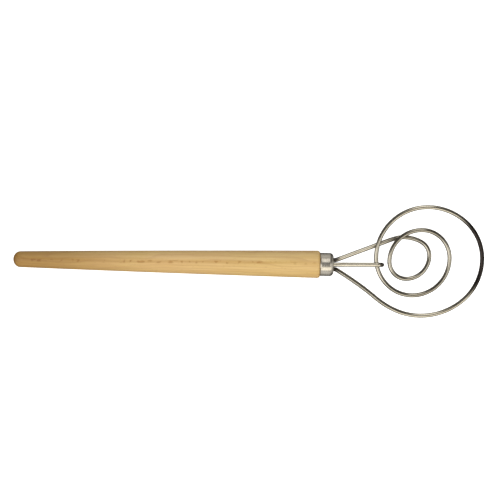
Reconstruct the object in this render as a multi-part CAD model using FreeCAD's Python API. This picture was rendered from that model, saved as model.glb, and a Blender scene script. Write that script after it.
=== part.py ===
"""Danish dough whisk: a long tapered beech handle, a drawn metal ferrule on its fat end, and a flat head wound
from one stainless wire that makes three nested loops. A second wire runs out along the middle and hooks round
the nearest strand, which keeps the head from folding.

Everything is drawn in a working frame: +X along the handle's axis towards the head, x = 0 at the ferrule's
front face, and y = z = 0 on the axis. The last step moves every piece so that the origin is at the middle of
the footprint, on the surface that the whisk lies on.
"""

import FreeCAD, Part
import math
import os

from FreeCAD import Vector

# Wire
WIRE_R = 1.75
EMBEDDED = 40.0                 # length of each wire end inside the handle
EXIT_STRAIGHT = 0.3             # how far a wire stands straight out of the ferrule before it bends

# Ferrule
FERRULE_LENGTH = 10.8
FERRULE_R = 9.35
FERRULE_WALL = 0.8
FERRULE_CORNER = 3.1
SLOT_CLEARANCE = 0.1            # round the three wires, in the ferrule's face

# Handle
HANDLE_BODY = 247.6             # butt's tip to shoulder
FAT_R = 11.1
SHOULDER_ROUND = 2.2
BUTT_R = 6.47
BUTT_ROUND_LENGTH = 5.6
BUTT_FACE_R = 3.5
BUTT_FACE_RISE = 0.9            # how far the domed end face stands out at its middle
BUTT_FACE_EDGE_DEG = 60.0       # slope of the outline where the end face meets the rounding
BUTT_SIDE_DEG = 1.4             # slope of the side at the butt: the side bulges slightly
FAT_SIDE_DEG = 0.8              # slope of the side at the fat end

# Socket drilled in the handle's end for the wires
SOCKET_R = 5.6
SOCKET_DEPTH = 42.0
DRILL_POINT_DEG = 118.0

# Where the three wires leave the ferrule, across the axis
UPPER_EXIT_Y = 3.62
HOOK_EXIT_Y = 0.0
LOWER_EXIT_Y = -3.62

# Lower leg of the long wire: bends sharply at the ferrule, then opens out into the outer loop
LOWER_BEND = (5.0, -5.6, 0.0)
LOWER_BEND_DEG = -31.6
LOWER_KNEE = (34.6, -26.3, 0.0)
LOWER_KNEE_DEG = -39.3

# Quarter points of the three loops, in the order in which the wire passes them
OUTER_BOTTOM = (70.3, -40.0, 0.0)
OUTER_RIGHT = (120.0, 6.3, 0.0)
OUTER_TOP = (76.2, 47.7, 0.0)
OUTER_LEFT = (34.4, 6.5, 0.0)
MIDDLE_BOTTOM = (63.5, -23.7, 0.0)
MIDDLE_RIGHT = (93.7, 6.6, 0.0)
MIDDLE_TOP = (71.5, 29.1, 0.0)
MIDDLE_LEFT = (45.2, 3.5, 0.0)
INNER_BOTTOM = (58.7, -10.5, -1.0)
INNER_RIGHT = (77.5, 8.5, -2.4)
INNER_TOP = (56.8, 23.1, -3.95)

# The inner loop winds down below the other two, so that the return leg passes under them to the ferrule
INNER_CLIMB_DEG = -3.1
INNER_TOP_CLIMB_DEG = -1.3
RETURN_FAR = (43.3, 19.75, -4.25)
RETURN_FAR_CLIMB_DEG = 2.7
RETURN_NEAR = (6.2, 5.35, -0.3)
RETURN_NEAR_CLIMB_DEG = 7.1

# Hook wire
HOOK_HEADING_DEG = 0.8          # how far it points off the axis
HOOK_ELBOW = 3.0                # ferrule to the middle of the gentle bend where the wire starts to rise
HOOK_CENTRE_X = 35.5            # middle of the hook's bend, just past the strand that it holds
HOOK_BEND_R = 3.75              # to the wire's middle: the strand fits inside with a little to spare
HOOK_TURN_DEG = 188.0           # how far the end is wrapped round
HOOK_TAIL = 4.0

AHEAD = Vector(1, 0, 0)
AXIS_POINT = Vector(0, 0, 0)


def direction(heading, climb=0.0):
    """Unit vector: heading in degrees from +X towards +Y, climb in degrees towards +Z."""
    h = math.radians(heading)
    c = math.radians(climb)
    return Vector(math.cos(h) * math.cos(c), math.sin(h) * math.cos(c), math.sin(c))


def arc_from(start, tangent, end):
    """Edge from start to end that leaves start along tangent: an arc, or a line where both are in line."""
    chord = end - start
    along = Vector(chord).normalize()
    half_turn = tangent.getAngle(along)
    if half_turn < 1e-4:
        return Part.LineSegment(start, end).toShape()
    side = (tangent - along * tangent.dot(along)).normalize()
    middle = (start + end) * 0.5 + side * (chord.Length / 2 * math.tan(half_turn / 2))
    return Part.Arc(start, middle, end).toShape()


def two_arcs(start, tangent, end, end_tangent):
    """Two edges that join start to end smoothly and keep the direction given at each."""
    chord = end - start
    across = chord.dot(tangent + end_tangent)
    bend = 2 * (1 - tangent.dot(end_tangent))
    if bend < 1e-12:
        reach = chord.Length ** 2 / (4 * chord.dot(end_tangent))
    else:
        reach = (math.sqrt(across ** 2 + bend * chord.Length ** 2) - across) / bend
    joint = (start + end + (tangent - end_tangent) * reach) * 0.5
    return [arc_from(start, tangent, joint), arc_from(end, end_tangent * -1, joint).reversed()]


def smooth_path(stations):
    """Edges through the stations, each a point and the direction there."""
    edges = []
    for (start, tangent), (end, end_tangent) in zip(stations, stations[1:]):
        chord = end - start
        if max(chord.getAngle(tangent), chord.getAngle(end_tangent)) < 1e-4:
            edges.append(Part.LineSegment(start, end).toShape())
        else:
            edges.extend(two_arcs(start, tangent, end, end_tangent))
    return edges


def round_bar(edges, start, tangent):
    """Solid wire of round section along the edges."""
    section = Part.Wire(Part.makeCircle(WIRE_R, start, tangent))
    return Part.Wire(edges).makePipeShell([section], True, False)


def turned(stations, corners):
    """Solid of revolution about the axis: a smooth outline through the stations, closed through the corners."""
    ends = [stations[-1][0]] + [Vector(x, r, 0) for x, r in corners] + [stations[0][0]]
    edges = smooth_path(stations)
    edges += [Part.LineSegment(a, b).toShape() for a, b in zip(ends, ends[1:])]
    return Part.Face(Part.Wire(edges)).revolve(AXIS_POINT, AHEAD, 360)


def loop_wire_stations():
    """The long wire, from its end inside the handle, round the three loops and back in."""
    return_run = Vector(*RETURN_NEAR) - Vector(*RETURN_FAR)
    return_heading = 180 + math.degrees(math.atan(return_run.y / return_run.x))
    return [
        (Vector(-EMBEDDED, LOWER_EXIT_Y, 0), direction(0)),
        (Vector(EXIT_STRAIGHT, LOWER_EXIT_Y, 0), direction(0)),
        (Vector(*LOWER_BEND), direction(LOWER_BEND_DEG)),
        (Vector(*LOWER_KNEE), direction(LOWER_KNEE_DEG)),
        (Vector(*OUTER_BOTTOM), direction(0)),
        (Vector(*OUTER_RIGHT), direction(90)),
        (Vector(*OUTER_TOP), direction(180)),
        (Vector(*OUTER_LEFT), direction(270)),
        (Vector(*MIDDLE_BOTTOM), direction(0)),
        (Vector(*MIDDLE_RIGHT), direction(90)),
        (Vector(*MIDDLE_TOP), direction(180)),
        (Vector(*MIDDLE_LEFT), direction(270)),
        (Vector(*INNER_BOTTOM), direction(0, INNER_CLIMB_DEG)),
        (Vector(*INNER_RIGHT), direction(90, INNER_CLIMB_DEG)),
        (Vector(*INNER_TOP), direction(180, INNER_TOP_CLIMB_DEG)),
        (Vector(*RETURN_FAR), direction(return_heading, RETURN_FAR_CLIMB_DEG)),
        (Vector(*RETURN_NEAR), direction(return_heading, RETURN_NEAR_CLIMB_DEG)),
        (Vector(EXIT_STRAIGHT, UPPER_EXIT_Y, 0), direction(180)),
        (Vector(-EMBEDDED, UPPER_EXIT_Y, 0), direction(180)),
    ]


def loop_wire():
    """The long wire that makes the head."""
    stations = loop_wire_stations()
    return round_bar(smooth_path(stations), *stations[0])


def hook_wire():
    """Straight wire that rises over the strand it holds and turns back underneath it."""
    elbow = Vector(EXIT_STRAIGHT + HOOK_ELBOW, HOOK_EXIT_Y, 0)
    reach = HOOK_CENTRE_X - elbow.x
    rise = math.degrees(math.asin(HOOK_BEND_R / reach))
    centre = elbow + direction(HOOK_HEADING_DEG) * reach

    def on_bend(turn):
        """Point and direction that many degrees round the bend, which starts where the rising run touches it."""
        outward = direction(HOOK_HEADING_DEG, rise - turn + 90)
        return centre + outward * HOOK_BEND_R, direction(HOOK_HEADING_DEG, rise - turn)

    bend_start, rising = on_bend(0)
    half_way, _ = on_bend(HOOK_TURN_DEG / 2)
    bend_end, returning = on_bend(HOOK_TURN_DEG)

    inner_end = Vector(-EMBEDDED, HOOK_EXIT_Y, 0)
    edges = smooth_path([
        (inner_end, AHEAD),
        (elbow - AHEAD * HOOK_ELBOW, AHEAD),
        (elbow + rising * HOOK_ELBOW, rising),
        (bend_start, rising),
    ])
    edges.append(Part.Arc(bend_start, half_way, bend_end).toShape())
    edges.append(Part.LineSegment(bend_end, bend_end + returning * HOOK_TAIL).toShape())
    return round_bar(edges, inner_end, AHEAD)


def socket():
    """Hole drilled in the end of the handle, with the drill's pointed bottom."""
    mouth = -FERRULE_WALL
    bottom = mouth - SOCKET_DEPTH
    half_point = DRILL_POINT_DEG / 2
    tip = bottom - SOCKET_R / math.tan(math.radians(half_point))
    cone = [
        (Vector(tip, 0, 0), direction(half_point)),
        (Vector(bottom, SOCKET_R, 0), direction(half_point)),
    ]
    return turned(cone, [(mouth, SOCKET_R), (mouth, 0)])


def handle():
    """Turned handle: domed butt, gently bulging taper, rounded shoulder, and a spigot inside the ferrule."""
    shoulder = -FERRULE_LENGTH
    butt = shoulder - HANDLE_BODY
    spigot_r = FERRULE_R - FERRULE_WALL
    spigot_end = -FERRULE_WALL
    chamfer = FERRULE_CORNER - FERRULE_WALL
    outline = [
        (Vector(butt, 0, 0), direction(90)),
        (Vector(butt + BUTT_FACE_RISE, BUTT_FACE_R, 0), direction(BUTT_FACE_EDGE_DEG)),
        (Vector(butt + BUTT_ROUND_LENGTH, BUTT_R, 0), direction(BUTT_SIDE_DEG)),
        (Vector(shoulder - SHOULDER_ROUND, FAT_R, 0), direction(FAT_SIDE_DEG)),
        (Vector(shoulder, FAT_R - SHOULDER_ROUND, 0), direction(-90)),
    ]
    spigot = [
        (shoulder, spigot_r),
        (spigot_end - chamfer, spigot_r),
        (spigot_end, spigot_r - chamfer),
        (spigot_end, 0),
    ]
    return turned(outline, spigot).cut(socket())


def cup(radius, corner, front):
    """Solid round bar with a rounded front edge, from there back to the shoulder."""
    outline = [
        (Vector(front, radius - corner, 0), direction(90)),
        (Vector(front - corner, radius, 0), direction(180)),
    ]
    return turned(outline, [(-FERRULE_LENGTH, radius), (-FERRULE_LENGTH, 0), (front, 0)])


def wire_slot():
    """Opening in the ferrule's face for the three wires, side by side."""
    slot_r = WIRE_R + SLOT_CLEARANCE
    depth = 4 * FERRULE_WALL
    back = -depth / 2
    slot = Part.makeBox(depth, UPPER_EXIT_Y - LOWER_EXIT_Y, 2 * slot_r, Vector(back, LOWER_EXIT_Y, -slot_r))
    for end_y in (LOWER_EXIT_Y, UPPER_EXIT_Y):
        slot = slot.fuse(Part.makeCylinder(slot_r, depth, Vector(back, end_y, 0), AHEAD))
    return slot.removeSplitter()


def ferrule():
    """Drawn cup over the handle's spigot."""
    inside = cup(FERRULE_R - FERRULE_WALL, FERRULE_CORNER - FERRULE_WALL, -FERRULE_WALL)
    return cup(FERRULE_R, FERRULE_CORNER, 0).cut(inside).cut(wire_slot())


def resin_plug(wires):
    """Hardened resin that fills the socket round the wire ends and keeps them from pulling out."""
    plug = socket()
    for wire in wires:
        plug = plug.cut(wire)
    return plug


def to_footprint():
    """Move from the working frame to the middle of the footprint, on the surface under the handle."""
    butt_x = -FERRULE_LENGTH - HANDLE_BODY
    head_x = OUTER_RIGHT[0] + WIRE_R
    return Vector(-(butt_x + head_x) / 2, -(OUTER_TOP[1] + OUTER_BOTTOM[1]) / 2, FAT_R)


def main():
    os.makedirs("parts", exist_ok=True)
    wires = {"loop_wire": loop_wire(), "hook_wire": hook_wire()}
    pieces = {"handle": handle(), "ferrule": ferrule(), "resin_plug": resin_plug(wires.values()), **wires}
    for name, shape in pieces.items():
        shape.translate(to_footprint())
        shape.exportStep(f"parts/{name}.step")
        print(f"{name}: {len(shape.Solids)} solid, valid {shape.isValid()}, {shape.Volume:.0f} mm3")


main()
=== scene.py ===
"""Danish dough whisk on a plain pale floor: beech handle, drawn ferrule, and a flat head of wound wire.

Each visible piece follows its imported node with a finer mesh, softened edges and a procedural material. Shapes
are worked out in millimetres in a working frame: +X along the handle's axis towards the head, with the origin
where the axis leaves the ferrule's front face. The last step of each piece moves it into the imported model's
frame.
"""

import math

import bpy
import numpy as np
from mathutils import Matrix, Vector


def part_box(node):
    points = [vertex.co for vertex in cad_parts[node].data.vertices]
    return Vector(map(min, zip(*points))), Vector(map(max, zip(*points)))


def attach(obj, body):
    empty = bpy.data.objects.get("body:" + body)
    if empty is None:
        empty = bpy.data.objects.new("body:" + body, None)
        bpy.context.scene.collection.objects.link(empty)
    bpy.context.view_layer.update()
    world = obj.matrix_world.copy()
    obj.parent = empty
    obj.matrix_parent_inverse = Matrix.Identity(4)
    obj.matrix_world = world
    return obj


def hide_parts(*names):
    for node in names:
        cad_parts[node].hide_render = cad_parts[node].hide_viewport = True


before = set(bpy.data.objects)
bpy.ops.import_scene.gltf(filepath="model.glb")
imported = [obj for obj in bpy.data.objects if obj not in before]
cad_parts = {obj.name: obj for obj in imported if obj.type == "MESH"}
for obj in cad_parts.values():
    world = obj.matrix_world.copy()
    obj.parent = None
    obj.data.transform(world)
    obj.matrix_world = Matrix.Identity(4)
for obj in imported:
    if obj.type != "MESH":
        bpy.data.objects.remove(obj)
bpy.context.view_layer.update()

MM = 0.001

# What the frame gives: where the working frame lies, and the sizes along the axis
HANDLE_LOW, HANDLE_HIGH = (np.array(corner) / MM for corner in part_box("handle"))
FERRULE_LOW, FERRULE_HIGH = (np.array(corner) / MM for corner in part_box("ferrule"))
ORIGIN = np.array([FERRULE_HIGH[0], *(HANDLE_LOW + HANDLE_HIGH)[1:] / 2])
BUTT_X = HANDLE_LOW[0] - ORIGIN[0]
SHOULDER_X = FERRULE_LOW[0] - ORIGIN[0]
FAT_R = min(HANDLE_HIGH[1] - HANDLE_LOW[1], HANDLE_HIGH[2] - HANDLE_LOW[2]) / 2

# Wire
WIRE_R = 1.75
EMBEDDED = 40.0
EXIT_STRAIGHT = 0.3
CUT_EDGE = 0.35                 # rounding of a cropped wire end

# Ferrule
FERRULE_R = 9.35
FERRULE_WALL = 0.8
FERRULE_CORNER = 3.1
SLOT_R = WIRE_R + 0.1
LIP = 0.22                      # rounding of the ferrule's rear edge and of its slot
LIP_MIDDLE = 0.3 * LIP          # how far the middle of a rounding lies from either side of its corner

# Handle
SHOULDER_ROUND = 2.2
BUTT_R = 6.47
BUTT_ROUND_LENGTH = 5.6
BUTT_FACE_R = 3.5
BUTT_FACE_RISE = 0.9
BUTT_FACE_EDGE_DEG = 60.0
BUTT_SIDE_DEG = 1.4
FAT_SIDE_DEG = 0.8
SOCKET_R = 5.6
SOCKET_DEPTH = 42.0
DRILL_POINT_DEG = 118.0

# Where the three wires leave the ferrule, across the axis
UPPER_EXIT_Y = 3.62
HOOK_EXIT_Y = 0.0
LOWER_EXIT_Y = -3.62

# Return leg of the long wire, which passes under the other loops on its way back to the ferrule
RETURN_FAR = (43.3, 19.75, -4.25)
RETURN_NEAR = (6.2, 5.35, -0.3)
RETURN_HEADING = 180 + math.degrees(
    math.atan2(RETURN_FAR[1] - RETURN_NEAR[1], RETURN_FAR[0] - RETURN_NEAR[0])
)

# The long wire in the order in which it is wound: points, each with its heading in degrees from +X towards +Y
# and its climb in degrees
LOOP_STATIONS = [
    ((-EMBEDDED, LOWER_EXIT_Y, 0), 0, 0),
    ((EXIT_STRAIGHT, LOWER_EXIT_Y, 0), 0, 0),
    ((5.0, -5.6, 0), -31.6, 0),             # sharp bend of the lower leg
    ((34.6, -26.3, 0), -39.3, 0),           # where the lower leg opens out into the outer loop
    ((70.3, -40.0, 0), 0, 0),               # outer loop: bottom, right, top, left
    ((120.0, 6.3, 0), 90, 0),
    ((76.2, 47.7, 0), 180, 0),
    ((34.4, 6.5, 0), 270, 0),
    ((63.5, -23.7, 0), 0, 0),               # middle loop
    ((93.7, 6.6, 0), 90, 0),
    ((71.5, 29.1, 0), 180, 0),
    ((45.2, 3.5, 0), 270, 0),
    ((58.7, -10.5, -1.0), 0, -3.1),         # inner loop, which winds down below the other two
    ((77.5, 8.5, -2.4), 90, -3.1),
    ((56.8, 23.1, -3.95), 180, -1.3),
    (RETURN_FAR, RETURN_HEADING, 2.7),
    (RETURN_NEAR, RETURN_HEADING, 7.1),
    ((EXIT_STRAIGHT, UPPER_EXIT_Y, 0), 180, 0),
    ((-EMBEDDED, UPPER_EXIT_Y, 0), 180, 0),
]

# Hook wire
HOOK_HEADING = 0.8
HOOK_ELBOW = 3.0
HOOK_CENTRE_X = 35.5
HOOK_BEND_R = 3.75
HOOK_TURN = 188.0
HOOK_TAIL = 4.0

# Mesh fineness
TURNED_SEGMENTS = 128
WIRE_SEGMENTS = 36
TAPER_SPACING = 3.0             # between rings along the handle's sides
BUTT_SPACING = 0.4              # between rings over the handle's butt
SHELL_SPACING = 1.5             # between rings along the ferrule's sides
CORNER_SPACING = 0.3            # between rings round a small rounding
FACE_SHARES = (0.3, 0.6, 0.85)  # where rings lie on the ferrule's face, from its rim to the slot
WIRE_SPACING = 1.0              # between rings along a wire
ARC_STEP = math.radians(7)      # most that an arc turns from one ring to the next
STRAIGHT = 1e-6                 # turn in radians below which an arc is drawn as a line
SHARP = math.radians(40)        # edges that turn more than this stay crisp


# ---------------------------------------------------------------- camera and stage

PICTURE_WIDTH = 0.4036          # width of the picture at the height of the handle's axis
CAMERA_HEIGHT = 1.6             # above the axis
CAMERA_AHEAD = -67.5            # where the picture's centre is, from the ferrule's front face
CAMERA_ASIDE = 10.6             # and to the left of the axis
CAMERA_TURN = 1.0               # degrees: the whisk lies slightly clockwise in the picture


def in_frame(points):
    """Working-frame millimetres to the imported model's metres."""
    return (np.asarray(points, dtype=float) + ORIGIN) * MM


def add_camera():
    """Looks straight down on the whisk."""
    data = bpy.data.cameras.new("camera")
    data.lens = data.sensor_width * CAMERA_HEIGHT / PICTURE_WIDTH
    camera = bpy.data.objects.new("camera", data)
    camera.location = in_frame((CAMERA_AHEAD, CAMERA_ASIDE, CAMERA_HEIGHT / MM))
    camera.rotation_euler = (0, 0, math.radians(CAMERA_TURN))
    bpy.context.scene.collection.objects.link(camera)
    bpy.context.scene.camera = camera


class Graph:
    """Short calls that add nodes to a node tree. An input is a number, a tuple or another node's output."""

    def __init__(self, tree):
        self.tree = tree

    def add(self, kind, inputs=None, **settings):
        """New node with its settings and inputs, by name or number."""
        node = self.tree.nodes.new(kind)
        for key, value in settings.items():
            setattr(node, key, value)
        for key, value in (inputs or {}).items():
            if isinstance(value, bpy.types.NodeSocket):
                self.tree.links.new(value, node.inputs[key])
            else:
                node.inputs[key].default_value = value
        return node

    def math(self, operation, a, b=0.0, c=0.0):
        """Arithmetic on up to three numbers."""
        return self.add("ShaderNodeMath", {0: a, 1: b, 2: c}, operation=operation).outputs[0]

    def ease(self, value, low, high, start=0.0, end=1.0):
        """Smooth step from start, where value is low, to end, where it is high."""
        node = self.add(
            "ShaderNodeMapRange",
            {"Value": value, "From Min": low, "From Max": high, "To Min": start, "To Max": end},
            interpolation_type="SMOOTHSTEP",
        )
        return node.outputs["Result"]

    def within(self, value, rise, fall):
        """1 inside two limits and 0 outside them. Each limit is the pair of values that its edge spans."""
        return self.math("MULTIPLY", self.ease(value, *rise), self.ease(value, *fall, 1.0, 0.0))

    def distance(self, a, b):
        """Length of the vector that two numbers make."""
        squares = self.math("ADD", self.math("POWER", a, 2.0), self.math("POWER", b, 2.0))
        return self.math("SQRT", squares)

    def place(self, vector, scale, offset=(0.0, 0.0, 0.0)):
        """Vector times scale, plus offset."""
        node = self.add("ShaderNodeMapping", {"Vector": vector, "Location": offset, "Scale": scale})
        return node.outputs[0]

    def split(self, vector):
        """The three numbers of a vector."""
        return self.add("ShaderNodeSeparateXYZ", {0: vector}).outputs

    def join(self, x, y, z):
        """Vector of three numbers."""
        return self.add("ShaderNodeCombineXYZ", {0: x, 1: y, 2: z}).outputs[0]

    def noise(self, vector, scale=1.0, detail=2.0, roughness=0.5):
        """Smooth random number from 0 to 1, about 0.5 on average."""
        inputs = {"Vector": vector, "Scale": scale, "Detail": detail, "Roughness": roughness}
        return self.add("ShaderNodeTexNoise", inputs).outputs["Fac"]

    def mix(self, factor, a, b, blend="MIX"):
        """Colour a changed towards colour b."""
        inputs = {0: factor, 6: a, 7: b}    # by number, because sockets of other kinds share their names
        return self.add("ShaderNodeMix", inputs, data_type="RGBA", blend_type=blend).outputs[2]

    def ramp(self, factor, stops):
        """Colour for a factor, from (position, colour) stops."""
        node = self.add("ShaderNodeValToRGB", {"Fac": factor})
        elements = node.color_ramp.elements
        while len(elements) < len(stops):
            elements.new(1.0)
        for element, (position, colour) in zip(elements, stops):
            element.position, element.color = position, colour
        return node.outputs["Color"]

    def bump(self, height, depth, normal=None):
        """Surface normal for a height from 0 to 1 that stands for depth metres."""
        inputs = {"Height": height, "Distance": depth}
        if normal is not None:
            inputs["Normal"] = normal
        return self.add("ShaderNodeBump", inputs).outputs[0]


def linear(red, green, blue):
    """Colour for a node from the 0 to 255 values that a screen shows."""
    return (*((channel / 255) ** 2.2 for channel in (red, green, blue)), 1.0)


def grey(level):
    """Neutral colour of a brightness."""
    return (level, level, level, 1.0)


def greys(levels):
    """Stops of a colour ramp from (position, brightness) pairs."""
    return [(position, grey(level)) for position, level in levels]


def new_material(name):
    """Material with a lone Principled shader: its graph, and that shader."""
    material = bpy.data.materials.new(name)
    material.use_nodes = True
    graph = Graph(material.node_tree)
    shader = next(n for n in material.node_tree.nodes if n.type == "BSDF_PRINCIPLED")
    return material, graph, shader


FLOOR_SIZE = 12.0
FLOOR_GLOW = 0.93               # the floor's own brightness, so that it stays almost white
WORLD_SHOWN = 1.0               # background brightness above the floor's edge

# The dim studio that metal reflects round the lamps: brightness by height, from straight down (0) to straight
# up (1)
SKY_BY_HEIGHT = [
    (0.0, 0.10), (0.1, 0.15), (0.25, 0.36), (0.42, 0.62), (0.52, 0.78), (0.75, 0.46), (0.9, 0.30),
    (1.0, 0.24),
]
# and the share of it by compass direction, from -X (0) through -Y (0.25), +X (0.5) and +Y (0.75) back to -X
# (1), above the horizon and below it
SKY_BY_COMPASS = [
    (0.0, 1.0), (0.05, 1.0), (0.10, 0.75), (0.20, 0.75), (0.23, 1.0), (0.27, 1.0), (0.30, 0.75), (0.42, 0.75),
    (0.46, 1.0), (0.52, 0.95), (0.58, 0.3), (0.67, 0.2), (0.71, 0.4), (0.73, 0.9), (0.77, 0.9), (0.79, 0.4),
    (0.83, 0.22), (0.93, 0.22), (0.98, 0.9), (1.0, 1.0),
]
GROUND_BY_COMPASS = [
    (0.0, 0.25), (0.19, 0.25), (0.23, 1.0), (0.27, 1.0), (0.31, 0.25), (0.36, 0.3), (0.41, 1.0), (0.54, 1.0),
    (0.60, 0.7), (0.64, 0.3), (0.69, 0.2), (0.73, 0.9), (0.77, 0.9), (0.81, 0.2), (1.0, 0.25),
]
HORIZON = (0.36, 0.48)          # heights between which the ground gives way to the sky
# Bright panels that the whisk reflects, as reach along X, reach along Y and brightness: one overhead on each
# side of the camera, and a narrow one to the whisk's left
PANELS = [
    ((-0.72, -0.14), (-0.50, 0.12), 1.4),
    ((0.28, 0.66), (-0.30, 0.20), 1.0),
    ((-0.14, 0.14), (0.38, 0.87), 1.1),
]
PANEL_EDGE = 0.05               # half the width of their soft edges
OVERHEAD = (0.2, 0.4)           # how far up a direction must point to meet them
SKY_TINT = (1.0, 0.97, 0.92, 1.0)


def add_floor():
    """Large pale floor under the whisk."""
    bpy.ops.mesh.primitive_plane_add(size=FLOOR_SIZE, location=(0, 0, 0))
    floor = bpy.context.object
    floor.name = "floor"
    material, _, shader = new_material("floor_paper")
    shader.inputs["Base Color"].default_value = grey(0.8)
    shader.inputs["Roughness"].default_value = 0.9
    shader.inputs["Specular IOR Level"].default_value = 0.0
    shader.inputs["Emission Color"].default_value = grey(1.0)
    shader.inputs["Emission Strength"].default_value = FLOOR_GLOW
    floor.data.materials.append(material)
    floor.visible_glossy = False
    floor.visible_diffuse = False


def add_world():
    """Dim studio all round for reflections, plain white behind the floor's edge."""
    world = bpy.data.worlds.new("studio")
    world.use_nodes = True
    world.node_tree.nodes.clear()
    bpy.context.scene.world = world
    graph = Graph(world.node_tree)
    x, y, z = graph.split(graph.add("ShaderNodeTexCoord").outputs["Generated"])
    height = graph.math("MULTIPLY_ADD", z, 0.5, 0.5)
    compass = graph.math("MULTIPLY_ADD", graph.math("ARCTAN2", y, x), 1 / math.tau, 0.5)
    by_height = graph.ramp(height, greys(SKY_BY_HEIGHT))
    above = graph.ramp(compass, greys(SKY_BY_COMPASS))
    below = graph.ramp(compass, greys(GROUND_BY_COMPASS))
    by_compass = graph.mix(graph.ease(height, *HORIZON), below, above)
    brightness = graph.math("MULTIPLY", by_height, by_compass)

    def covered(value, reach):
        """1 where a panel covers the value and 0 past its soft edges."""
        rise, fall = ((limit - PANEL_EDGE, limit + PANEL_EDGE) for limit in reach)
        return graph.within(value, rise, fall)

    overhead = graph.ease(z, *OVERHEAD)
    for along, across, level in PANELS:
        panel = graph.math("MULTIPLY", covered(x, along), covered(y, across))
        panel = graph.math("MULTIPLY", panel, overhead)
        brightness = graph.math("MULTIPLY_ADD", panel, level, brightness)
    studio = graph.add("ShaderNodeBackground", {"Color": SKY_TINT, "Strength": brightness})
    shown = graph.add("ShaderNodeBackground", {"Color": grey(1.0), "Strength": WORLD_SHOWN})
    from_camera = graph.add("ShaderNodeLightPath").outputs["Is Camera Ray"]
    both = graph.add("ShaderNodeMixShader", {0: from_camera, 1: studio.outputs[0], 2: shown.outputs[0]})
    graph.add("ShaderNodeOutputWorld", {"Surface": both.outputs[0]})


def add_softbox(name, at, size, colour, brightness, glossy=True):
    """Soft rectangular lamp that faces the floor's middle line. Its size is its level side and its slope."""
    data = bpy.data.lights.new(name, "AREA")
    data.shape = "RECTANGLE"
    data.size, data.size_y = size
    data.color = colour
    data.energy = brightness * math.pi * size[0] * size[1]
    lamp = bpy.data.objects.new(name, data)
    lamp.location = at
    lamp.rotation_euler = Vector((0.0, *at[1:])).to_track_quat("Z", "Y").to_euler()
    lamp.visible_camera = False
    lamp.visible_glossy = glossy
    bpy.context.scene.collection.objects.link(lamp)


def add_lamps():
    """Warm key softbox to the right, past the head, and a fill on each side that metal doesn't reflect."""
    add_softbox(
        "key_softbox", at=(0.46, -0.62, 0.66), size=(1.2, 0.56), colour=(1.0, 0.93, 0.80), brightness=1.1,
    )
    add_softbox(
        "right_fill", at=(0.05, -0.7, 0.45), size=(0.9, 0.4), colour=(1.0, 0.94, 0.77), brightness=1.7,
        glossy=False,
    )
    add_softbox(
        "left_fill", at=(0.05, 0.62, 0.6), size=(0.7, 0.6), colour=(0.92, 0.96, 1.0), brightness=2.2,
        glossy=False,
    )


# ---------------------------------------------------------------- shapes

def unit(vector):
    """The vector at length 1."""
    vector = np.asarray(vector, dtype=float)
    return vector / np.linalg.norm(vector)


def direction(heading, climb=0.0):
    """Unit vector: heading in degrees from +X towards +Y, climb in degrees towards +Z."""
    h, c = math.radians(heading), math.radians(climb)
    return np.array([math.cos(h) * math.cos(c), math.sin(h) * math.cos(c), math.sin(c)])


def arc(start, tangent, end, spacing):
    """Points and tangents, just after start up to end, of the arc or line that leaves start along tangent."""
    chord = end - start
    length = np.linalg.norm(chord)
    across = chord - tangent * chord.dot(tangent)
    half_turn = math.atan2(np.linalg.norm(across), chord.dot(tangent))
    if half_turn < STRAIGHT:
        steps = math.ceil(length / spacing)
        return [(start + chord * k / steps, tangent) for k in range(1, steps + 1)]
    side = unit(across)
    radius = length / (2 * math.sin(half_turn))
    steps = math.ceil(max(2 * half_turn * radius / spacing, 2 * half_turn / ARC_STEP))
    found = []
    for turn in (2 * half_turn * k / steps for k in range(1, steps + 1)):
        point = start + (tangent * math.sin(turn) + side * (1 - math.cos(turn))) * radius
        found.append((point, tangent * math.cos(turn) + side * math.sin(turn)))
    return found


def smooth_path(stations, spacing):
    """Points and tangents along arcs in pairs that pass each station, which is a point and a direction."""
    path = [(np.array(stations[0][0], dtype=float), stations[0][1])]
    for (start, tangent), (end, end_tangent) in zip(stations, stations[1:]):
        start, end = np.array(start, dtype=float), np.array(end, dtype=float)
        chord = end - start
        across = chord.dot(tangent + end_tangent)
        bend = 2 * (1 - tangent.dot(end_tangent))
        if bend < STRAIGHT ** 2:
            reach = chord.dot(chord) / (4 * chord.dot(end_tangent))
        else:
            reach = (math.sqrt(across ** 2 + bend * chord.dot(chord)) - across) / bend
        joint = (start + end + (tangent - end_tangent) * reach) / 2
        path += arc(start, tangent, joint, spacing)
        back = arc(end, -end_tangent, joint, spacing)
        path += [(point, -backward) for point, backward in back[-2::-1]] + [(end, end_tangent)]
    return path


def finish_piece(name, vertices, faces, material, node):
    """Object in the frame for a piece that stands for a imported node."""
    mesh = bpy.data.meshes.new(name)
    mesh.from_pydata(in_frame(vertices).tolist(), [], faces)
    mesh.validate()
    mesh.shade_smooth()
    mesh.set_sharp_from_angle(angle=SHARP)
    piece = bpy.data.objects.new(name, mesh)
    bpy.context.scene.collection.objects.link(piece)
    mesh.materials.append(material)
    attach(piece, "root")
    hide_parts(node)
    return piece


def ring_faces(count, around, closed=False):
    """Faces between rings of vertices that follow each other, and back to the first ring if closed."""
    faces = []
    for ring in range(count if closed else count - 1):
        first, second = ring * around, (ring + 1) % count * around
        for k in range(around):
            after = (k + 1) % around
            faces.append((first + k, first + after, second + after, second + k))
    return faces


def capped(rings, first_pole, last_pole):
    """Vertices and faces of a skin over the rings, closed with a point at each end."""
    count, around = len(rings), len(rings[0])
    vertices = np.vstack([*rings, [first_pole], [last_pole]])
    faces = ring_faces(count, around)
    last = (count - 1) * around
    for k in range(around):
        after = (k + 1) % around
        faces.append((count * around, after, k))
        faces.append((count * around + 1, last + k, last + after))
    return vertices, faces


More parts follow.
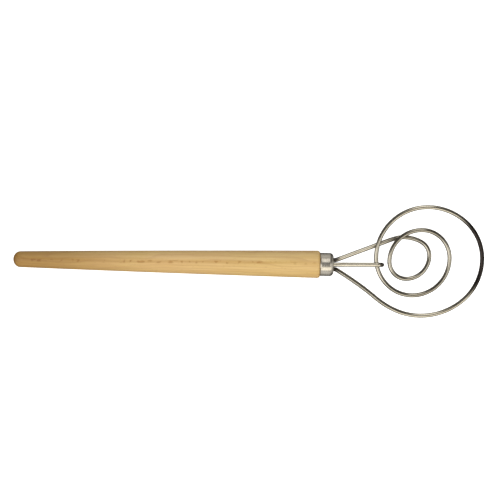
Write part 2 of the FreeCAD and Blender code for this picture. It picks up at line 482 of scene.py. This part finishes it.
def circle(x, radius):
    """Ring square to the axis."""
    turns = (np.arange(TURNED_SEGMENTS) + 0.5) * math.tau / TURNED_SEGMENTS
    return np.column_stack([np.full(TURNED_SEGMENTS, x), radius * np.cos(turns), radius * np.sin(turns)])


def slot_ring(x, radius):
    """Ring round the ferrule's slot, two half circles joined by straight sides, on rays from its middle."""
    ring = circle(x, 1.0)
    for point in ring:
        level, upright = abs(point[1]), abs(point[2])
        reach = radius / upright
        if reach * level > UPPER_EXIT_Y:
            reach = UPPER_EXIT_Y * level + math.sqrt(radius ** 2 - (UPPER_EXIT_Y * upright) ** 2)
        point[1:] *= reach
    return ring


def rounded(centre, radius, start_deg, end_deg):
    """Points of a small arc in the plane of x and distance from the axis."""
    steps = max(2, math.ceil(radius * math.radians(abs(end_deg - start_deg)) / CORNER_SPACING))
    turns = np.radians(np.linspace(start_deg, end_deg, steps + 1))
    return [(centre[0] + radius * math.cos(turn), centre[1] + radius * math.sin(turn)) for turn in turns]


def spaced(start, end, spacing):
    """Points strictly between two points in the plane of x and distance from the axis."""
    steps = math.ceil(math.dist(start, end) / spacing)
    return [tuple(np.array(start) + (np.array(end) - start) * k / steps) for k in range(1, steps)]


def handle_outline():
    """Outside of the handle from the butt's rim to the shoulder, then the spigot and the drilled socket."""
    stations = [
        ((BUTT_X, 0, 0), direction(90)),
        ((BUTT_X + BUTT_FACE_RISE, BUTT_FACE_R, 0), direction(BUTT_FACE_EDGE_DEG)),
        ((BUTT_X + BUTT_ROUND_LENGTH, BUTT_R, 0), direction(BUTT_SIDE_DEG)),
        ((SHOULDER_X - SHOULDER_ROUND, FAT_R, 0), direction(FAT_SIDE_DEG)),
        ((SHOULDER_X, FAT_R - SHOULDER_ROUND, 0), direction(-90)),
    ]
    outline = []
    spacings = (BUTT_SPACING, BUTT_SPACING, TAPER_SPACING, CORNER_SPACING)
    for *pair, spacing in zip(stations, stations[1:], spacings):
        outline += [(x, r) for (x, r, _), _ in smooth_path(pair, spacing)[1:]]
    spigot_r = FERRULE_R - FERRULE_WALL
    chamfer = FERRULE_CORNER - FERRULE_WALL
    bottom = -FERRULE_WALL - SOCKET_DEPTH
    outline += [
        (SHOULDER_X, spigot_r),
        (-FERRULE_WALL - chamfer, spigot_r),
        (-FERRULE_WALL, spigot_r - chamfer),
        (-FERRULE_WALL, SOCKET_R),
        (bottom, SOCKET_R),
    ]
    return outline


def add_handle(material):
    """Turned handle."""
    outline = handle_outline()
    drill_tip = outline[-1][0] - SOCKET_R / math.tan(math.radians(DRILL_POINT_DEG / 2))
    rings = [circle(x, r) for x, r in outline]
    vertices, faces = capped(rings, (BUTT_X, 0, 0), (drill_tip, 0, 0))
    return finish_piece("turned_handle", vertices, faces, material, "handle")


def add_ferrule(material):
    """Drawn cup with a slot for the wires, its edges slightly rounded."""
    inner_r = FERRULE_R - FERRULE_WALL
    inner_corner = FERRULE_CORNER - FERRULE_WALL
    flat_r = FERRULE_R - FERRULE_CORNER
    back, front = SHOULDER_X + LIP, -FERRULE_CORNER
    outside = rounded((back, FERRULE_R - LIP), LIP, 180, 90)
    outside += spaced((back, FERRULE_R), (front, FERRULE_R), SHELL_SPACING)
    outside += rounded((front, flat_r), FERRULE_CORNER, 90, 0)
    inside = rounded((front, flat_r), inner_corner, 0, 90)
    inside += spaced((front, inner_r), (SHOULDER_X, inner_r), SHELL_SPACING) + [(SHOULDER_X, inner_r)]
    rings = [circle(x, r) for x, r in outside]
    mouth, mouth_inside = slot_ring(0.0, SLOT_R + LIP), slot_ring(-FERRULE_WALL, SLOT_R + LIP)
    rings += [rings[-1] + (mouth - rings[-1]) * share for share in FACE_SHARES] + [mouth]
    rings += [slot_ring(x - LIP, SLOT_R + LIP - r) for x, r in rounded((0, 0), LIP, 30, 90)]
    rings += [slot_ring(-FERRULE_WALL + x, SLOT_R + r) for x, r in ((LIP, 0), (LIP_MIDDLE, LIP_MIDDLE))]
    rings += [mouth_inside] + [circle(x, r) for x, r in inside]
    return finish_piece(
        "drawn_ferrule", np.vstack(rings), ring_faces(len(rings), TURNED_SEGMENTS, closed=True),
        material, "ferrule",
    )


def end_rings(point, tangent, outward):
    """Centres, tangents and radii of the rings that round off a cropped wire end."""
    found = []
    for turn in (math.radians(deg) for deg in (30, 60, 90)):
        inset = CUT_EDGE * (1 - math.cos(turn))
        found.append((point - outward * CUT_EDGE * (1 - math.sin(turn)), tangent, WIRE_R - inset))
    return found


def add_wire(name, path, material, node):
    """Round wire along a path. Each vertex keeps its place on the wire as it was before it was bent."""
    points = [point for point, _ in path]
    lengths = np.concatenate([[0.0], np.cumsum([math.dist(a, b) for a, b in zip(points, points[1:])])])
    stations = [(point, tangent, WIRE_R, length) for (point, tangent), length in zip(path, lengths)]
    stations = [s for s in stations if CUT_EDGE < s[3] < lengths[-1] - CUT_EDGE]
    start_tangent, end_tangent = path[0][1], path[-1][1]
    for centre, tangent, radius in end_rings(points[0], start_tangent, -start_tangent):
        stations.insert(0, (centre, tangent, radius, 0.0))
    for centre, tangent, radius in end_rings(points[-1], end_tangent, end_tangent):
        stations.append((centre, tangent, radius, lengths[-1]))
    turns = np.arange(WIRE_SEGMENTS) * math.tau / WIRE_SEGMENTS
    side = np.array([0.0, 0.0, 1.0])
    rings, unbent = [], []
    for centre, tangent, radius, length in stations:
        side = unit(side - tangent * side.dot(tangent))
        other = np.cross(tangent, side)
        around = np.outer(np.cos(turns), side) + np.outer(np.sin(turns), other)
        rings.append(centre + around * radius)
        straight = (radius * np.cos(turns), radius * np.sin(turns), np.full(WIRE_SEGMENTS, length))
        unbent.append(np.column_stack(straight))
    vertices, faces = capped(rings, points[0], points[-1])
    piece = finish_piece(name, vertices, faces, material, node)
    places = np.vstack([*unbent, [(0, 0, 0)], [(0, 0, lengths[-1])]])
    attribute = piece.data.attributes.new("unbent", "FLOAT_VECTOR", "POINT")
    attribute.data.foreach_set("vector", places.astype(np.float32).ravel())
    return piece


def add_head_wire(material):
    """The long wire that makes the head."""
    stations = [(point, direction(heading, climb)) for point, heading, climb in LOOP_STATIONS]
    return add_wire("head_wire", smooth_path(stations, WIRE_SPACING), material, "loop_wire")


def add_hook_wire(material):
    """Straight wire that rises over the strand it holds and turns back underneath it."""
    elbow = np.array([EXIT_STRAIGHT + HOOK_ELBOW, HOOK_EXIT_Y, 0.0])
    reach = HOOK_CENTRE_X - elbow[0]
    rise = math.degrees(math.asin(HOOK_BEND_R / reach))
    centre = elbow + direction(HOOK_HEADING) * reach

    def on_bend(turn):
        """Point and direction, turn degrees round the bend, which starts where the rising run touches it."""
        outward = direction(HOOK_HEADING, rise - turn + 90)
        return centre + outward * HOOK_BEND_R, direction(HOOK_HEADING, rise - turn)

    bend_start, rising = on_bend(0)
    bend_end, returning = on_bend(HOOK_TURN)
    ahead = direction(0)
    inner_end = np.array([-EMBEDDED, HOOK_EXIT_Y, 0.0])
    path = smooth_path(
        [
            (inner_end, ahead),
            (elbow - ahead * HOOK_ELBOW, ahead),
            (elbow + rising * HOOK_ELBOW, rising),
            (bend_start, rising),
        ],
        WIRE_SPACING,
    )
    steps = math.ceil(math.radians(HOOK_TURN) / ARC_STEP)
    path += [on_bend(HOOK_TURN * k / steps) for k in range(1, steps + 1)]
    path += arc(bend_end, returning, bend_end + returning * HOOK_TAIL, WIRE_SPACING)
    return add_wire("stay_wire", path, material, "hook_wire")


# ---------------------------------------------------------------- materials
# Places and lengths are in millimetres of the working frame, and a pattern's scale is in cells per millimetre
# along X, Y and Z. Unless said otherwise, a pair is the span of a soft edge.

PLACE_IN_WORK = tuple(-ORIGIN)  # moves frame millimetres to the working frame

PITH = (58.0, 41.0)             # how far the tree's middle lies from the axis, to the right and below
RING_PITCH = 2.7                # between growth rings
BUTT_DARKENING_LENGTH = 130.0             # how far from the butt the wood is darkened: partly handling patina, partly painted shade where the light falls off
FLECK_LINE_Y = 0.9              # where the line of larger flecks crosses x = 0, and how much it slants
FLECK_LINE_SLANT = 0.006
FLECK_LINE_EDGE = (0.5, 1.9)    # off its middle
FLECK_LINE_TOP = (3.0, 6.0)     # above the axis
FLECK_LINE_FADE = (-70.0, -25.0)    # where it grows fainter towards the shoulder
FLECK_CROWD = ((-178.0, -160.0), (-128.0, -112.0))      # both ends of the stretch where its flecks crowd
WOOD_LIGHT = linear(230, 198, 132)
WOOD_DEEP = linear(219, 183, 112)
WOOD_LATE = linear(190, 146, 92)
WOOD_FIBRE = linear(194, 150, 98)
WOOD_ROSY = linear(222, 176, 132)
WOOD_FLECK = linear(174, 122, 58)
WOOD_BUTT_PATINA_AND_SHADE = linear(190, 168, 118)
# end grain's own darker tone, partly painted shade
WOOD_END_GRAIN_AND_SHADE = linear(206, 190, 160)

FERRULE_EDGE = 0.8              # how much of its light the ferrule still reflects where it is seen edge on
MOUTH_SHADE_SPAN = (SLOT_R, 6.6)     # painted shade round the slot, from the axis
FERRULE_FACE = (-0.6, -0.1)     # along the axis: the painted shade keeps to the front face
REAR_SHADOW_LENGTH = 0.7                # painted shadow along the ferrule's rear edge, along the axis
FERRULE_CLEAN = linear(222, 217, 206)
FERRULE_DULL = linear(206, 200, 188)
FERRULE_SPECK = linear(150, 142, 128)
# colour of the painted shade at the ferrule's mouth and rear edge
FERRULE_PAINTED_SHADE = linear(92, 84, 72)

WIRE_EDGE = 0.3                 # how much of its light a wire still reflects where it is seen edge on
FAR_END = (103.5, 115.0)        # painted dark reflection on the outer loop's far end, which starts sooner on the +Y side
FAR_END_SLANT = 0.12
BESIDE_STAY = (1.8, 2.6)        # off the axis: the gap between the stay wire and the two legs beside it
ROOTS = (1.0, 7.0)              # painted shade on the two legs where they leave the ferrule
BEND_SHADE = (                  # both ends of the painted shade on the front of the hook's bend
    (HOOK_CENTRE_X + 1.3, HOOK_CENTRE_X + 2.9),
    (HOOK_CENTRE_X + 6.0, HOOK_CENTRE_X + 7.0),
)
INNER_MIDDLE = (69.0, 4.0, -1.0)
INNER_REACH = (30.0, 36.0)      # how far from their middle the painted shade on the inner loops reaches
INNER_SIDES = (8.0, 18.0)       # off their middle across the whisk, where it is strongest
WIRE_CLEAN = linear(224, 219, 204)
WIRE_LINE = linear(204, 198, 182)
WIRE_DULL = linear(190, 182, 162)
# colour of the painted shade and dark reflections on the wire
WIRE_PAINTED_SHADE = linear(36, 28, 31)

RESIN_DEEP = linear(150, 112, 62)
RESIN_HAZE = linear(120, 84, 42)
RESIN_BUBBLE = linear(196, 164, 110)


def working_place(graph):
    """Object coordinates as working-frame millimetres."""
    coordinates = graph.add("ShaderNodeTexCoord").outputs["Object"]
    return graph.place(coordinates, (1 / MM,) * 3, PLACE_IN_WORK)


def growth_rings(graph, place, y, z):
    """Darker late wood of the growth rings, which ends sharply."""
    wander = graph.noise(graph.place(place, (0.012, 0.06, 0.06)), detail=2.0)
    from_pith = graph.distance(graph.math("ADD", y, PITH[0]), graph.math("ADD", z, PITH[1]))
    phase = graph.math("MULTIPLY_ADD", wander, 5.0, graph.math("MULTIPLY", from_pith, 1 / RING_PITCH))
    return graph.within(graph.math("FRACT", phase), (0.55, 0.95), (0.955, 1.0))


def ray_flecks(graph, place):
    """Short dark lens-shaped flecks all over, each with its own strength."""
    stretched = graph.place(place, (0.24, 1.25, 1.25))
    cells = graph.add("ShaderNodeTexVoronoi", {"Vector": stretched, "Scale": 1.0, "Randomness": 1.0})
    near = graph.ease(cells.outputs["Distance"], 0.10, 0.30, 1.0, 0.0)
    chosen = graph.ease(graph.split(cells.outputs["Color"])[0], 0.45, 0.75)
    return graph.math("MULTIPLY", near, chosen)


def fleck_line(graph, place, x, y, z):
    """Larger flecks in a line along the top, crowded in one stretch, where the rays meet the surface flat."""
    middle = graph.math("MULTIPLY_ADD", x, FLECK_LINE_SLANT, FLECK_LINE_Y)
    off_line = graph.math("ABSOLUTE", graph.math("SUBTRACT", y, middle))
    on_top = graph.ease(z, *FLECK_LINE_TOP)
    band = graph.math("MULTIPLY", graph.ease(off_line, *FLECK_LINE_EDGE, 1.0, 0.0), on_top)
    band = graph.math("MULTIPLY", band, graph.ease(x, *FLECK_LINE_FADE, 1.0, 0.45))
    cells = graph.noise(graph.place(place, (0.24, 0.30, 0.1)), detail=1.0)
    threshold = graph.math("MULTIPLY_ADD", graph.within(x, *FLECK_CROWD), -0.08, 0.57)
    mark = graph.ease(graph.math("SUBTRACT", cells, threshold), -0.02, 0.14)
    return graph.math("MULTIPLY", graph.math("MULTIPLY_ADD", mark, 0.55, 0.2), band)


def beech():
    """Oiled beech, cut lengthwise: faint growth rings, fine fibres and short dark ray flecks."""
    material, graph, shader = new_material("beech")
    place = working_place(graph)
    x, y, z = graph.split(place)
    rings = growth_rings(graph, place, y, z)
    streaks = graph.noise(graph.place(place, (0.018, 0.55, 0.55)), detail=3.0, roughness=0.6)
    fibres = graph.noise(graph.place(place, (0.07, 3.2, 3.2)), detail=3.0, roughness=0.6)
    clouds = graph.noise(graph.place(place, (0.02, 0.06, 0.06)), detail=1.0)
    flecks = graph.math("MULTIPLY", ray_flecks(graph, place), 0.3)
    marks = graph.math("MAXIMUM", flecks, fleck_line(graph, place, x, y, z))

    colour = graph.mix(graph.ease(streaks, 0.3, 0.7), WOOD_DEEP, WOOD_LIGHT)
    colour = graph.mix(graph.math("MULTIPLY", rings, 0.35), colour, WOOD_LATE)
    colour = graph.mix(graph.ease(fibres, 0.35, 0.75, 0.0, 0.28), colour, WOOD_FIBRE)
    colour = graph.mix(graph.ease(clouds, 0.3, 0.7, 0.0, 0.25), colour, WOOD_ROSY)
    colour = graph.mix(marks, colour, WOOD_FLECK)
    # Darker towards the butt: partly handling patina, partly painted shade of the light falling off towards
    # that end.
    butt_patina_and_shade = graph.ease(x, BUTT_X, BUTT_X + BUTT_DARKENING_LENGTH, 0.85, 0.0)
    colour = graph.mix(butt_patina_and_shade, colour, WOOD_BUTT_PATINA_AND_SHADE, "MULTIPLY")

    facing = graph.split(graph.add("ShaderNodeNewGeometry").outputs["Normal"])[0]
    end_grain = graph.ease(graph.math("ABSOLUTE", facing), 0.45, 0.95)
    pores = graph.noise(place, scale=3.4, detail=1.0)
    open_pores = graph.math("MULTIPLY", graph.ease(pores, 0.55, 0.66), end_grain)
    # Faces along the axis darker: partly the end grain's own tone, partly painted shade on the butt's end.
    colour = graph.mix(graph.math("MULTIPLY", end_grain, 0.6), colour, WOOD_END_GRAIN_AND_SHADE, "MULTIPLY")
    colour = graph.mix(graph.math("MULTIPLY", open_pores, 0.5), colour, WOOD_FLECK)
    graph.tree.links.new(colour, shader.inputs["Base Color"])

    shader.inputs["Specular IOR Level"].default_value = 0.7
    rough = graph.ease(fibres, 0.25, 0.75, 0.30, 0.42)
    rough = graph.math("MULTIPLY_ADD", end_grain, 0.15, rough)
    rough = graph.math("MULTIPLY_ADD", marks, 0.06, rough)
    graph.tree.links.new(rough, shader.inputs["Roughness"])

    grain = graph.math("MULTIPLY_ADD", marks, -0.8, fibres)
    normal = graph.bump(grain, 0.00006)
    normal = graph.bump(open_pores, -0.00008, normal)
    graph.tree.links.new(normal, shader.inputs["Normal"])
    return material


def ferrule_metal():
    """Nickel plate, brushed round the axis, with specks, painted shade round its mouth and a painted shadow
    along its rear edge.
    """
    material, graph, shader = new_material("ferrule_nickel")
    shader.inputs["Metallic"].default_value = 1.0
    shader.inputs["Specular Tint"].default_value = grey(FERRULE_EDGE)
    place = working_place(graph)
    x, y, z = graph.split(place)
    from_axis = graph.distance(y, z)
    along = graph.math("MULTIPLY", graph.math("SUBTRACT", x, from_axis), 7.0)
    around = graph.join(along, graph.math("MULTIPLY", y, 0.12), graph.math("MULTIPLY", z, 0.12))
    brushing = graph.noise(around, detail=4.0, roughness=0.7)
    blotches = graph.noise(place, scale=0.35, detail=3.0)
    specks = graph.noise(place, scale=2.2, detail=2.0)
    colour = graph.mix(graph.ease(blotches, 0.35, 0.7), FERRULE_CLEAN, FERRULE_DULL)
    colour = graph.mix(graph.ease(specks, 0.62, 0.75, 0.0, 0.35), colour, FERRULE_SPECK)
    # Painted shade on the front face round the slot, where the wires leave it.
    mouth = graph.ease(from_axis, *MOUTH_SHADE_SPAN, 0.75, 0.0)
    mouth = graph.math("MULTIPLY", mouth, graph.ease(x, *FERRULE_FACE))
    colour = graph.mix(mouth, colour, FERRULE_PAINTED_SHADE)
    # Painted shadow along the rear edge, against the wood's shoulder.
    rear = graph.ease(x, SHOULDER_X, SHOULDER_X + REAR_SHADOW_LENGTH, 0.6, 0.0)
    colour = graph.mix(rear, colour, FERRULE_PAINTED_SHADE)
    graph.tree.links.new(colour, shader.inputs["Base Color"])
    rough = graph.ease(brushing, 0.3, 0.7, 0.16, 0.28)
    graph.tree.links.new(graph.math("MULTIPLY_ADD", blotches, 0.08, rough), shader.inputs["Roughness"])
    graph.tree.links.new(graph.bump(brushing, 0.000008), shader.inputs["Normal"])
    return material


def wire_painted_shade(graph):
    """Painted shade and painted dark reflections on the wire: at its far end, on its inner loops, at its roots
    and on the hook's bend.
    """
    place = working_place(graph)
    x, y, _ = graph.split(place)
    off_axis = graph.math("ABSOLUTE", y)
    # Painted dark reflection on the outer loop's far end.
    far_end_shade = graph.ease(graph.math("MULTIPLY_ADD", y, FAR_END_SLANT, x), *FAR_END, 0.0, 0.95)
    # Painted shade on the sides of the inner loops.
    from_middle = graph.add("ShaderNodeVectorMath", {0: place, 1: INNER_MIDDLE}, operation="DISTANCE")
    across = graph.math("ABSOLUTE", graph.math("SUBTRACT", y, INNER_MIDDLE[1]))
    inner_shade = graph.ease(from_middle.outputs["Value"], *INNER_REACH, 0.3, 0.0)
    inner_shade = graph.math("MULTIPLY", inner_shade, graph.ease(across, *INNER_SIDES, 0.3, 1.0))
    # Painted shade on the legs where they leave the ferrule.
    root_shade = graph.math("MULTIPLY", graph.ease(x, *ROOTS, 0.95, 0.0), graph.ease(off_axis, *BESIDE_STAY))
    # Painted shade on the front of the hook's bend, where it turns down.
    bend = graph.math("MULTIPLY", graph.within(x, *BEND_SHADE), graph.ease(off_axis, *BESIDE_STAY, 0.8, 0.0))
    return far_end_shade, inner_shade, root_shade, bend


def wire_metal():
    """Bright drawn stainless wire: lines along it, light scuffs and blotches, and painted shade and dark
    reflections in some places.
    """
    material, graph, shader = new_material("drawn_wire")
    shader.inputs["Metallic"].default_value = 1.0
    shader.inputs["Specular Tint"].default_value = grey(WIRE_EDGE)
    unbent = graph.add("ShaderNodeAttribute", attribute_name="unbent").outputs["Vector"]
    draw_lines = graph.noise(graph.place(unbent, (5.0, 5.0, 0.03)), detail=3.0, roughness=0.6)
    blotches = graph.noise(graph.place(unbent, (0.5, 0.5, 0.12)), detail=3.0)
    scuffs = graph.noise(graph.place(unbent, (1.6, 1.6, 1.1)), detail=2.0)
    colour = graph.mix(graph.ease(draw_lines, 0.35, 0.7), WIRE_CLEAN, WIRE_LINE)
    colour = graph.mix(graph.ease(blotches, 0.4, 0.7, 0.0, 0.5), colour, WIRE_DULL)
    # Darkens the wire with painted shade and dark reflections.
    for painted_dark in wire_painted_shade(graph):
        colour = graph.mix(painted_dark, colour, WIRE_PAINTED_SHADE)
    graph.tree.links.new(colour, shader.inputs["Base Color"])
    rough = graph.ease(draw_lines, 0.3, 0.7, 0.08, 0.16)
    rough = graph.math("ADD", rough, graph.ease(scuffs, 0.55, 0.75, 0.0, 0.12))
    graph.tree.links.new(rough, shader.inputs["Roughness"])
    graph.tree.links.new(graph.bump(draw_lines, 0.000006), shader.inputs["Normal"])
    return material


def resin():
    """Cast amber resin with a slight haze and a few bubbles."""
    material, graph, shader = new_material("cast_resin")
    place = working_place(graph)
    haze = graph.noise(place, scale=0.5, detail=3.0)
    bubbles = graph.add("ShaderNodeTexVoronoi", {"Vector": place, "Scale": 1.3})
    bubble = graph.ease(bubbles.outputs["Distance"], 0.08, 0.16, 1.0, 0.0)
    colour = graph.mix(graph.ease(haze, 0.35, 0.65), RESIN_DEEP, RESIN_HAZE)
    graph.tree.links.new(graph.mix(bubble, colour, RESIN_BUBBLE), shader.inputs["Base Color"])
    graph.tree.links.new(graph.ease(haze, 0.3, 0.7, 0.25, 0.4), shader.inputs["Roughness"])
    graph.tree.links.new(graph.bump(bubble, 0.0001), shader.inputs["Normal"])
    return material


def recolour(node, material):
    """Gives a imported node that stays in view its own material."""
    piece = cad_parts[node]
    piece.data.materials.clear()
    piece.data.materials.append(material)


# ---------------------------------------------------------------- the scene

add_camera()
add_floor()
add_world()
add_lamps()
bpy.context.scene.view_settings.view_transform = "Standard"

drawn_wire = wire_metal()
add_handle(beech())
add_ferrule(ferrule_metal())
add_head_wire(drawn_wire)
add_hook_wire(drawn_wire)
recolour("resin_plug", resin())
